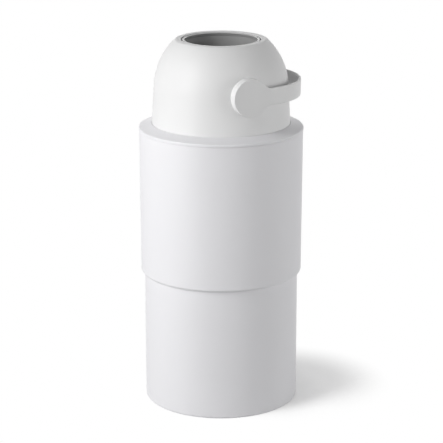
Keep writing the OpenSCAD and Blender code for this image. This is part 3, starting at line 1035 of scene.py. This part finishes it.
@dataclass
class Dome:
    """The bullet-shaped dome with its mouth and pivot pads.

    Attributes:
        radius: Outer radius, level with the round part's centre.
        low_r: Outer radius below the waist.
        waist_z: Height from which the side leans inwards.
        centre_z: Height of the round part's centre.
        bottom: Height of the lower edge.
        foot_r: Outer radius of the foot that the collar clamps.
        foot_h: Thickness of the foot.
        crest_r: Radius of the crest round the mouth.
        crest_soft: Radius of the crest's rounding.
        mouth_r: Radius of the mouth.
        crest_z: Height of the crest.
        wall: Wall thickness.
        rib_r: Inner radius of the rib that holds the upper seal.
        rib_h: Height of its lower edge above the pivot axis.
        rib_wall: Thickness of the rib.
        pivot: Height of the pivot axis.
        pad_r: Radius of a pivot pad.
        pad_y: Distance of a pad's face from the bin's axis.
        pad_back: Distance of its back.
        bush_r: Radius of the bush's bore.
        boss_r: Radius of the boss round the bush.
    """

    radius: float = 114.9 * MM
    low_r: float = 118.3 * MM
    waist_z: float = 493 * MM
    centre_z: float = 552 * MM
    bottom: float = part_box("dome_shell")[0].z
    foot_r: float = 122 * MM
    foot_h: float = 3 * MM
    crest_r: float = 77.5 * MM
    crest_soft: float = 6 * MM
    mouth_r: float = 68.2 * MM
    crest_z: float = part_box("dome_shell")[1].z
    wall: float = 3 * MM
    rib_r: float = 80 * MM
    rib_h: float = 67.3 * MM
    rib_wall: float = 1.8 * MM
    pivot: float = PIVOT_Z
    pad_r: float = 32 * MM
    pad_y: float = 116.7 * MM
    pad_back: float = 107.4 * MM
    bush_r: float = 17.1 * MM
    boss_r: float = 20 * MM

    def shell(self) -> bmesh.types.BMesh:
        """The dome's wall from its foot to the mouth's lip and back.

        Returns:
            The closed mesh.
        """
        centre = (0.0, self.centre_z)
        rise = math.degrees(math.acos((self.crest_r + self.crest_soft) / self.radius))
        inner = self.radius - self.wall
        root = math.degrees(math.acos((self.crest_r + 1 * MM) / inner))
        outside = arc(centre, self.radius, 0, rise, steps=36)
        inside = arc(centre, inner, root, 0, steps=32)
        crest_z = self.centre_z + math.sqrt(self.radius**2 - self.crest_r**2)
        lip, foot = self.crest_z - 0.4 * MM, self.bottom + self.foot_h
        low_in = self.low_r - self.wall
        return Turned([
            Corner(self.foot_r, self.bottom), Corner(self.foot_r, foot),
            Corner(self.low_r, foot), Corner(self.low_r, self.waist_z),
            *outside, Corner(self.crest_r, crest_z, self.crest_soft),
            Corner(self.mouth_r, lip, 0.8 * MM), Corner(self.mouth_r, lip - 2 * MM, 0.2 * MM),
            *inside, Corner(low_in, self.waist_z), Corner(low_in, self.bottom)],
            steps=180, soft_steps=5).mesh()

    def rib(self) -> bmesh.types.BMesh:
        """The rib that holds the upper seal.

        Returns:
            The closed mesh.
        """
        middle = self.radius - self.wall / 2
        low, outer = self.pivot + self.rib_h, self.rib_r + self.rib_wall
        tops = [self.centre_z + math.sqrt(middle**2 - r**2) for r in (self.rib_r, outer)]
        return Turned([Corner(self.rib_r, low, 0.4 * MM), Corner(outer, low, 0.4 * MM),
                       Corner(outer, tops[1]), Corner(self.rib_r, tops[0])]).mesh()

    def pad(self, side: Side) -> bmesh.types.BMesh:
        """One pivot pad with the bore of its bush.

        Args:
            side: The end of the pivot axis.

        Returns:
            The mesh.
        """
        back, deck = self.pad_back, self.pad_y - self.wall
        skin = self.pad_r - self.wall
        bm = Turned([
            Corner(self.bush_r, back), Corner(self.boss_r, back), Corner(self.boss_r, deck),
            Corner(skin, deck), Corner(skin, back), Corner(self.pad_r, back),
            Corner(self.pad_r, self.pad_y, 0.8 * MM), Corner(self.bush_r, self.pad_y)],
            steps=96).mesh()
        return on_pivot(bm, side, self.pivot)

    def build(self, shop: Workshop) -> None:
        """Make the dome.

        Args:
            shop: The workshop.
        """
        shop.piece("dome", [self.shell(), self.rib(), self.pad(Side.FRONT), self.pad(Side.BACK)],
                   Finish.HEAD, Body.HEAD, ["dome_shell"])


@dataclass
class BandHandle:
    """The band round the dome with a hub at each end, one sheet with a drum behind each hub.

    Attributes:
        pivot: Height of the pivot axis.
        face_y: Distance of a hub's face from the bin's axis.
        back_y: Distance of a hub's back.
        straight: Where the bend starts, along X.
        hub_r: Radius of a hub.
        near_h: Height of the band at the hub.
        far_h: Height of the band in the middle of its bend.
        thick: Thickness of the band.
        rise: Height of the band's middle above the pivot.
        blend: Radius of the blends between hub and band.
        droop: Angle by which the handle hangs at rest, in degrees.
        soft: Rounding of the edges.
        drum_wall: Wall thickness of the drum behind a hub.
        boss_r: Radius of the boss in the drum.
        drive_r: Radius of its hole for the axle.
        rows: Number of strips across the band.
        steps: Number of steps in a quarter turn.
        sharp: Angle from which an edge of the sheet is rounded, in degrees.
    """

    pivot: float = PIVOT_Z
    face_y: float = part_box("handle")[1].y
    back_y: float = 117 * MM
    straight: float = 12.4 * MM
    hub_r: float = 32 * MM
    near_h: float = 28.8 * MM
    far_h: float = 28.2 * MM
    thick: float = 4 * MM
    rise: float = 0.6 * MM
    blend: float = 14 * MM
    droop: float = 1.4
    soft: float = 1.3 * MM
    drum_wall: float = 3 * MM
    boss_r: float = 15 * MM
    drive_r: float = 11.2 * MM
    rows: int = 8
    steps: int = 60
    sharp: float = 60.0

    def edge(self, x: float, way: int) -> float:
        """Height of one edge of the hub, the blend or the band over the pivot.

        Args:
            x: Distance along X.
            way: 1 for the upper edge and -1 for the lower.

        Returns:
            The height, with its sign.
        """
        near = self.near_h / 2 + way * self.rise
        far = self.far_h / 2 + way * self.rise
        start = math.sqrt((self.hub_r + self.blend) ** 2 - (near + self.blend) ** 2)
        touch = start * self.hub_r / (self.hub_r + self.blend)
        if x <= touch:
            return way * math.sqrt(self.hub_r**2 - x**2)
        if x <= start:
            return way * (near + self.blend - math.sqrt(self.blend**2 - (start - x) ** 2))
        share = (x - start) / (self.straight + self.face_y - start)
        return way * (near + (far - near) * share)

    def _column(self, verts: Sequence[bmesh.types.BMVert], turn: float) -> None:
        """Put one column of the sheet in its place.

        Args:
            verts: The column's vertices from the lowest up.
            turn: The place along the bend, in radians from the hub.
        """
        x = self.straight + self.face_y * math.sin(turn)
        low, high = self.edge(x, -1), self.edge(x, 1)
        for i, vert in enumerate(verts):
            vert.co = (x, -self.face_y * math.cos(turn), low + (high - low) * i / self.rows)

    def sheet(self) -> bmesh.types.BMesh:
        """The outer face of the hubs and the band, given its thickness and soft edges.

        Returns:
            The closed mesh.
        """
        bm = bmesh.new()
        bmesh.ops.create_circle(bm, cap_ends=True, radius=self.hub_r, segments=128)
        bmesh.ops.rotate(bm, verts=list(bm.verts), cent=(0, 0, 0),
                         matrix=Matrix.Rotation(math.radians(90), 3, "X"))
        bmesh.ops.translate(bm, verts=list(bm.verts), vec=(0, -self.face_y, 0))
        bmesh.ops.bisect_plane(bm, geom=[*bm.verts, *bm.edges, *bm.faces], dist=ON_PLANE,
                               plane_co=(self.straight, 0, 0), plane_no=(1, 0, 0),
                               clear_outer=True)
        chord = [e for e in bm.edges if all(abs(v.co.x - self.straight) < MERGE for v in e.verts)]
        bmesh.ops.subdivide_edges(bm, edges=chord, cuts=self.rows - 1)
        column = sorted((v for v in bm.verts if abs(v.co.x - self.straight) < MERGE),
                        key=lambda v: v.co.z)
        self._column(column, 0.0)
        for step in range(1, self.steps + 1):
            grown = bmesh.ops.extrude_edge_only(
                bm, edges=[e for e in bm.edges if all(v in column for v in e.verts)])
            column = sorted((g for g in grown["geom"] if isinstance(g, bmesh.types.BMVert)),
                            key=lambda v: v.co.z)
            self._column(column, math.radians(90 * step / self.steps))
        bmesh.ops.mirror(bm, geom=[*bm.verts, *bm.edges, *bm.faces], axis="Y", merge_dist=MERGE)
        bmesh.ops.remove_doubles(bm, verts=list(bm.verts), dist=MERGE)
        bmesh.ops.recalc_face_normals(bm, faces=list(bm.faces))
        outer = max(bm.faces, key=lambda f: f.calc_center_median().x)
        if outer.normal.x < 0:
            bmesh.ops.reverse_faces(bm, faces=list(bm.faces))
        bmesh.ops.solidify(bm, geom=list(bm.faces), thickness=self.thick)
        sharp = math.radians(self.sharp)
        rims = [e for e in bm.edges if e.is_manifold and e.calc_face_angle() > sharp]
        bmesh.ops.bevel(bm, geom=rims, offset=self.soft, offset_type="OFFSET", affect="EDGES",
                        segments=4, profile=0.5, material=-1, loop_slide=True)
        return bm

    def drum(self, side: Side) -> bmesh.types.BMesh:
        """The hollow drum behind a hub, with the boss that takes the axle.

        Args:
            side: The end of the pivot axis.

        Returns:
            The mesh.
        """
        r, back = self.hub_r - 0.02 * MM, self.back_y
        top, deck = self.face_y - self.thick / 2, self.face_y - self.thick + BITE
        inner = r - self.drum_wall
        bm = Turned([
            Corner(0, top), Corner(r, top), Corner(r, back, 0.6 * MM),
            Corner(inner, back, 0.5 * MM), Corner(inner, deck, 1 * MM),
            Corner(self.boss_r, deck, 1 * MM), Corner(self.boss_r, back, 0.4 * MM),
            Corner(self.drive_r, back, 0.4 * MM), Corner(self.drive_r, deck), Corner(0, deck)],
            steps=128).mesh()
        return on_pivot(bm, side, 0.0)

    def build(self, shop: Workshop) -> None:
        """Make the handle.

        Args:
            shop: The workshop.
        """
        parts = [self.sheet(), self.drum(Side.FRONT), self.drum(Side.BACK)]
        place = Matrix.Translation((0, 0, self.pivot)) @ Matrix.Rotation(
            math.radians(self.droop), 4, "Y")
        for part in parts:
            bmesh.ops.transform(part, matrix=place, verts=list(part.verts))
        shop.piece("band_handle", parts, Finish.HANDLE, Body.BALL, ["handle"])


@dataclass
class Barrel:
    """The ball's barrel and its two end rings.

    Attributes:
        outer: Outer radius.
        bore: Inner radius.
        ring_in: Inner radius of a ring.
        low: Height of the barrel's lower end.
        high: Height of the barrel's upper end.
        ring_h: Height of a ring.
        land: Height of the light land at a ring's end.
        seam: Width by which a ring's end stands back, for the dark seam to the dome's lip.
    """

    outer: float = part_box("barrel_tube")[1].x
    bore: float = 64.4 * MM
    ring_in: float = 62 * MM
    low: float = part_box("barrel_tube")[0].z
    high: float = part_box("barrel_tube")[1].z
    ring_h: float = 6 * MM
    land: float = 0.9 * MM
    seam: float = 1.3 * MM

    def ring_wall(self, base: float, way: int) -> bmesh.types.BMesh:
        """The dark wall of one end ring.

        Args:
            base: Height of the face that meets the barrel.
            way: 1 when it points up, -1 when it points down.

        Returns:
            The mesh.
        """
        end = base + way * (self.ring_h - self.land)
        mid = base + way * self.ring_h / 2
        edge = self.outer - self.seam
        return Turned([Corner(self.outer, base), Corner(self.outer, mid), Corner(edge, mid),
                       Corner(edge, end), Corner(self.ring_in, end),
                       Corner(self.bore - 0.1 * MM, base)], steps=160).mesh()

    def ring_land(self, base: float, way: int) -> bmesh.types.BMesh:
        """The light land at the end of one end ring.

        Args:
            base: Height of the face that meets the barrel.
            way: 1 when it points up, -1 when it points down.

        Returns:
            The mesh.
        """
        low, end = base + way * (self.ring_h - self.land), base + way * self.ring_h
        edge = self.outer - self.seam
        return Turned([Corner(edge, low), Corner(edge, end, 0.4 * MM),
                       Corner(self.ring_in, end, 0.7 * MM), Corner(self.ring_in, low)],
                      steps=160).mesh()

    def tube(self) -> bmesh.types.BMesh:
        """The barrel.

        Returns:
            The closed mesh.
        """
        return Turned([Corner(self.outer, self.low), Corner(self.outer, self.high),
                       Corner(self.bore, self.high, 0.3 * MM),
                       Corner(self.bore, self.low, 0.3 * MM)], steps=160).mesh()

    def build(self, shop: Workshop) -> None:
        """Make the barrel and its rings.

        Args:
            shop: The workshop.
        """
        shop.piece("barrel", [self.tube()], Finish.BORE, Body.BALL, ["barrel_tube"])
        for end, base, way in (("upper", self.high, 1), ("lower", self.low, -1)):
            shop.piece(f"{end}_ring_wall", [self.ring_wall(base, way)], Finish.BORE, Body.BALL,
                       [f"barrel_ring_{end}"])
            shop.piece(f"{end}_ring_land", [self.ring_land(base, way)], Finish.RIM, Body.BALL,
                       [f"barrel_ring_{end}"])


@dataclass
class PistonPlates:
    """The piston's two dished end plates, each with a short hub behind it.

    Attributes:
        radius: Outer radius.
        low: Height of the lower plate's face.
        high: Height of the upper plate's face.
        thick: Thickness at the rim.
        dish: Depth of the dish.
        rim: Width of the flat rim.
        hub_r: Outer radius of the hub.
        hub_wall: Thickness of the hub.
        low_hub: Length of the lower plate's hub.
        high_hub: Length of the upper plate's hub.
    """

    radius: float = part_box("piston_cap_upper")[1].x
    low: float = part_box("piston_cap_lower")[0].z
    high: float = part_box("piston_cap_upper")[1].z
    thick: float = 3 * MM
    dish: float = 1.4 * MM
    rim: float = 3 * MM
    hub_r: float = 22 * MM
    hub_wall: float = 2 * MM
    low_hub: float = 9.4 * MM
    high_hub: float = 11 * MM

    def plate(self, face: float, way: int, hub: float) -> bmesh.types.BMesh:
        """One plate.

        Args:
            face: Height of its outer face.
            way: 1 when its hub points up, -1 when it points down.
            hub: Length of its hub.

        Returns:
            The mesh.
        """
        deck, end = self.thick, self.thick + hub
        inner = self.hub_r - self.hub_wall
        bm = Turned([
            Corner(0, self.dish), Corner(self.radius - self.rim, 0, 9 * MM),
            Corner(self.radius, 0, 0.8 * MM), Corner(self.radius, deck, 0.4 * MM),
            Corner(self.hub_r, deck), Corner(self.hub_r, end, 0.4 * MM),
            Corner(inner, end, 0.4 * MM), Corner(inner, deck), Corner(0, deck)]).mesh()
        bmesh.ops.scale(bm, vec=(1, 1, way), verts=list(bm.verts))
        bmesh.ops.translate(bm, vec=(0, 0, face), verts=list(bm.verts))
        bmesh.ops.recalc_face_normals(bm, faces=list(bm.faces))
        return bm

    def build(self, shop: Workshop) -> None:
        """Make both plates.

        Args:
            shop: The workshop.
        """
        shop.piece("piston_plate_low", [self.plate(self.low, 1, self.low_hub)], Finish.DARK,
                   Body.PISTON, ["piston_cap_lower"])
        shop.piece("piston_plate_high", [self.plate(self.high, -1, self.high_hub)], Finish.DARK,
                   Body.PISTON, ["piston_cap_upper"])


@dataclass
class BagClamp:
    """The hoop that traps the bag's edge in the bag ring.

    Attributes:
        outer: Outer radius of its rim.
        low: Height of its lower edge.
        high: Height of its rim.
        rim_h: Thickness of the rim.
        wall_r: Outer radius of the hoop.
        wall: Thickness of the hoop.
    """

    outer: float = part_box("bag_clamp_ring")[1].x
    low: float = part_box("bag_clamp_ring")[0].z
    high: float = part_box("bag_clamp_ring")[1].z
    rim_h: float = 1.6 * MM
    wall_r: float = 115.7 * MM
    wall: float = 2.2 * MM

    def build(self, shop: Workshop) -> None:
        """Make the hoop.

        Args:
            shop: The workshop.
        """
        inner, under = self.wall_r - self.wall, self.high - self.rim_h
        hoop = Turned([
            Corner(inner, self.low, 0.8 * MM), Corner(self.wall_r, self.low, 0.8 * MM),
            Corner(self.wall_r, under, 0.3 * MM), Corner(self.outer, under, 0.4 * MM),
            Corner(self.outer, self.high, 0.6 * MM), Corner(inner, self.high, 1.2 * MM)],
            steps=180).mesh()
        shop.piece("bag_hoop", [hoop], Finish.DARK, Body.BAG_CARRIER,
                   ["bag_clamp_ring"])


@dataclass
class PackedParts:
    """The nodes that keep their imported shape.

    Attributes:
        finishes: The finish of each node.
    """

    finishes: dict[str, Finish] = field(default_factory=lambda: {
        "bag_ring": Finish.GREY, "head_gasket": Finish.SEAL,
        "ball_cradle": Finish.GREY, "upper_ball_seal": Finish.SEAL,
        "lower_ball_seal": Finish.SEAL, "pivot_bush_front": Finish.GREY,
        "pivot_bush_back": Finish.GREY, "head_screws": Finish.STEEL,
        "ball_half_front": Finish.GREY, "ball_half_back": Finish.GREY,
        "ball_screws": Finish.STEEL, "piston_body": Finish.DARK,
        "piston_weight": Finish.STEEL, "piston_wipers": Finish.SEAL,
        "axle_front": Finish.DARK, "axle_back": Finish.DARK, "axle_screws": Finish.STEEL})

    def build(self, shop: Workshop) -> None:
        """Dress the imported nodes.

        Args:
            shop: The workshop.
        """
        for node, finish in self.finishes.items():
            shop.dress(node, finish)


@dataclass(frozen=True)
class Lamp:
    """A soft round lamp that looks at the middle of the bin.

    Attributes:
        name: Its name.
        turn: Its direction, in degrees to the left of the camera.
        rise: Its elevation, in degrees.
        size: Its width.
        power: Its power in watts.
        reach: Its distance.
    """

    name: str
    turn: float
    rise: float
    size: float
    power: float
    reach: float = 2.4


@dataclass
class Studio:
    """The floor, the light and the camera.

    Attributes:
        azimuth: Direction that the camera stands in, in degrees.
        pitch: Angle by which it looks down, in degrees.
        distance: Distance from the point that it looks at.
        aim_z: Height of that point.
        aside: Distance of that point from the bin's axis, to the camera's right.
        focal_px: Focal length in pixels of the 443-pixel frame.
        image_px: Width of that frame.
        sensor: Width of the camera's sensor, in millimetres.
        sight: Distance up to which the camera sees.
        sky: Strength of the plain light from all round.
        lamps: The lamps.
        floor_half: Half the width of the floor.
        floor_rough: Roughness of the floor.
        lift: Brightness that the floor shows to the camera beyond its own.
        floor_tone: The floor's own colour.
        seen_tone: The colour that the camera sees.
        shade_right: Distance of the shadow's middle to the camera's right of the axis.
        shade_back: Distance of the shadow's middle behind the axis.
        fade_from: Distance from the shadow's middle at which the floor starts to turn plain white.
        fade_to: Distance from which it is plain white.
        contact_from: Distance from the bin's axis up to which the painted shade on the floor is
            darkest.
        contact_to: Distance from which the floor keeps its own tone, with no painted shade.
        contact: Tone of the painted shade that the camera sees on the floor right beside the bin.
    """

    azimuth: float = -24.2
    pitch: float = 16.09
    distance: float = 3.211
    aim_z: float = 0.3152
    aside: float = 0.0007
    focal_px: float = 1850.0
    image_px: float = 443.0
    sensor: float = 36.0
    sight: float = 50.0
    sky: float = 0.2
    lamps: tuple[Lamp, ...] = (
        Lamp("key_lamp", 55, 8, 1.2, 21.5),
        Lamp("high_lamp", 55, 35, 1.2, 26.6),
        Lamp("fill_lamp", -75, 8, 1.2, 19.4),
        Lamp("back_lamp", 180, 4, 1.2, 9.0))
    floor_half: float = 12.0
    floor_rough: float = 0.9
    lift: float = 0.27
    floor_tone: float = 0.6
    seen_tone: float = 1.0
    shade_right: float = 0.11
    shade_back: float = 0.05
    fade_from: float = 0.08
    fade_to: float = 0.2
    # Painted shade on the floor right round the bin's base, seen by the camera only.
    contact_from: float = 0.13
    contact_to: float = 0.2
    contact: float = 0.72

    def _toward(self, azimuth: float, rise: float) -> Vector:
        """Unit vector towards a direction.

        Args:
            azimuth: Azimuth in degrees, 0 for -Y.
            rise: Elevation in degrees.

        Returns:
            The vector.
        """
        a, e = math.radians(azimuth), math.radians(rise)
        return Vector((math.sin(a) * math.cos(e), -math.cos(a) * math.cos(e), math.sin(e)))

    def camera(self) -> None:
        """Make the camera at the photograph's viewing angle."""
        data = bpy.data.cameras.new("camera")
        data.sensor_width = self.sensor
        data.lens = self.focal_px / self.image_px * self.sensor
        data.clip_end = self.sight
        made = bpy.data.objects.new("camera", data)
        back = self._toward(self.azimuth, self.pitch)
        right = self._toward(self.azimuth + 90, 0)
        made.location = right * self.aside + Vector((0, 0, self.aim_z)) + back * self.distance
        made.rotation_mode = "QUATERNION"
        made.rotation_quaternion = (-back).to_track_quat("-Z", "Y")
        bpy.context.scene.collection.objects.link(made)
        bpy.context.scene.camera = made

    def _hang(self, lamp: Lamp) -> None:
        """Add one lamp.

        Args:
            lamp: The lamp.
        """
        data = bpy.data.lights.new(lamp.name, "AREA")
        data.shape = "DISK"
        data.size = lamp.size
        data.energy = lamp.power
        made = bpy.data.objects.new(lamp.name, data)
        back = self._toward(self.azimuth - lamp.turn, lamp.rise)
        made.location = Vector((0, 0, self.aim_z)) + back * lamp.reach
        made.rotation_mode = "QUATERNION"
        made.rotation_quaternion = (-back).to_track_quat("-Z", "Y")
        bpy.context.scene.collection.objects.link(made)

    def sky_light(self) -> None:
        """Make the plain light from all round, which the camera sees as white."""
        world = bpy.data.worlds.new("plain_sky")
        bpy.context.scene.world = world
        world.use_nodes = True
        tree = world.node_tree
        tree.nodes.clear()
        path = tree.nodes.new("ShaderNodeLightPath")
        seen = tree.nodes.new("ShaderNodeMath")
        seen.operation = "MAXIMUM"
        tree.links.new(path.outputs["Is Camera Ray"], seen.inputs[0])
        tree.links.new(path.outputs["Is Transmission Ray"], seen.inputs[1])
        glossy = tree.nodes.new("ShaderNodeMath")
        glossy.operation = "MAXIMUM"
        tree.links.new(seen.outputs[0], glossy.inputs[0])
        tree.links.new(path.outputs["Is Glossy Ray"], glossy.inputs[1])
        level = tree.nodes.new("ShaderNodeMapRange")
        level.inputs["To Min"].default_value = self.sky
        level.inputs["To Max"].default_value = 1.0
        tree.links.new(glossy.outputs[0], level.inputs["Value"])
        back = tree.nodes.new("ShaderNodeBackground")
        back.inputs["Color"].default_value = (*WHITE, 1.0)
        tree.links.new(level.outputs[0], back.inputs["Strength"])
        out = tree.nodes.new("ShaderNodeOutputWorld")
        tree.links.new(back.outputs[0], out.inputs["Surface"])

    def floor(self) -> None:
        """Make the white floor, which keeps the bin's shadow and has a painted shade right round the
        bin's base.
        """
        bm = bmesh.new()
        bmesh.ops.create_grid(bm, x_segments=2, y_segments=2, size=self.floor_half)
        data = bpy.data.meshes.new("floor")
        bm.to_mesh(data)
        bm.free()
        made = bpy.data.objects.new("floor", data)
        bpy.context.scene.collection.objects.link(made)
        sheet = Sheet("white_floor")
        seen = sheet.node("ShaderNodeLightPath", out="Is Camera Ray")
        glossy = sheet.node("ShaderNodeLightPath", out="Is Glossy Ray")
        shade = (self._toward(self.azimuth + 90, 0) * self.shade_right
                 - self._toward(self.azimuth, 0) * self.shade_back)
        away = sheet.node("ShaderNodeVectorMath", {"operation": "DISTANCE"},
                          {0: sheet.place(), 1: shade}, "Value")
        plain = sheet.ramp(away, self.fade_from, self.fade_to)
        axis = sheet.node("ShaderNodeVectorMath", {"operation": "LENGTH"}, {0: sheet.place()},
                          "Value")
        # Painted shade: for camera rays the floor turns darker towards the bin's axis.
        contact = sheet.ramp(axis, self.contact_from, self.contact_to, self.contact)
        tone = self.floor_tone + seen * (contact * self.seen_tone - self.floor_tone)
        sheet.set(Base_Color=sheet.shade(WHITE, tone), Roughness=self.floor_rough,
                  Specular_IOR_Level=0.0,
                  Emission_Color=sheet.shade(WHITE, (seen + glossy) * self.lift),
                  Emission_Strength=1.0)
        white = sheet.node("ShaderNodeEmission", {}, {"Color": (*WHITE, 1.0)})
        both = sheet.node("ShaderNodeMixShader", {}, {0: plain * (seen + glossy),
                                                      1: Value(sheet, sheet.shader.outputs[0]),
                                                      2: white})
        sheet.tree.links.new(both.socket, sheet.out.inputs["Surface"])
        data.materials.append(sheet.material)

    def build(self) -> None:
        """Make the whole studio."""
        self.camera()
        for lamp in self.lamps:
            self._hang(lamp)
        self.sky_light()
        self.floor()
        bpy.context.scene.view_settings.view_transform = "Standard"


def main() -> None:
    """Build every piece and the studio."""
    logging.basicConfig(level=logging.INFO, format="%(name)s: %(message)s")
    shop = Workshop(Finishes())
    for part in (LowerBin(), Sleeve(), Collar(), Dome(), BandHandle(), Barrel(), PistonPlates(),
                 BagClamp(), PackedParts()):
        part.build(shop)
    Studio().build()


if __name__ == "__main__":
    main()
